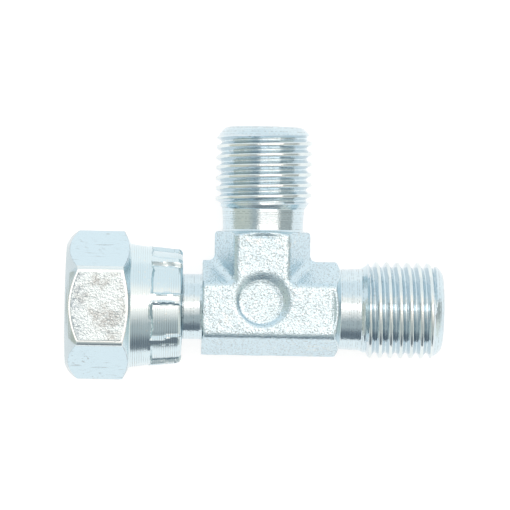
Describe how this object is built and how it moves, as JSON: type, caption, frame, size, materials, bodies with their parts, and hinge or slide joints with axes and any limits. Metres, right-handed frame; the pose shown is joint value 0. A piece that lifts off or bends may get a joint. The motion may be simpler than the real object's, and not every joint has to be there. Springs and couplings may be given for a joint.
{
  "type": "tee adapter",
  "caption": "Hydraulic run tee adapter: forged body with two threaded male cone ends and a loose crimped swivel nut round a sealing nose.",
  "frame": {"origin": "where the run's flow axis crosses the branch's flow axis, inside the forged body", "axes": "+X along the run towards its male end, +Y along the branch towards its male end, +Z towards the side with the round recess"},
  "size_m": [0.0549, 0.0372, 0.019],
  "materials": {
    "zinc_body": "bright blue-white zinc plate, rough forged flats and turned ends",
    "zinc_nut": "bright blue-white zinc plate over turned and rolled steel",
    "seal_rubber": "black nitrile rubber, slightly shiny"
  },
  "bodies": {
    "body": {"tee_body": "zinc_body", "seal_ring": "seal_rubber"},
    "nut": {"swivel_nut": "zinc_nut"}
  },
  "joints": [
    {"name": "nut_spin", "type": "hinge", "parent": "body", "child": "nut", "pos_m": [-0.02, 0, 0], "axis": [-1, 0, 0], "continuous": true}
  ]
}
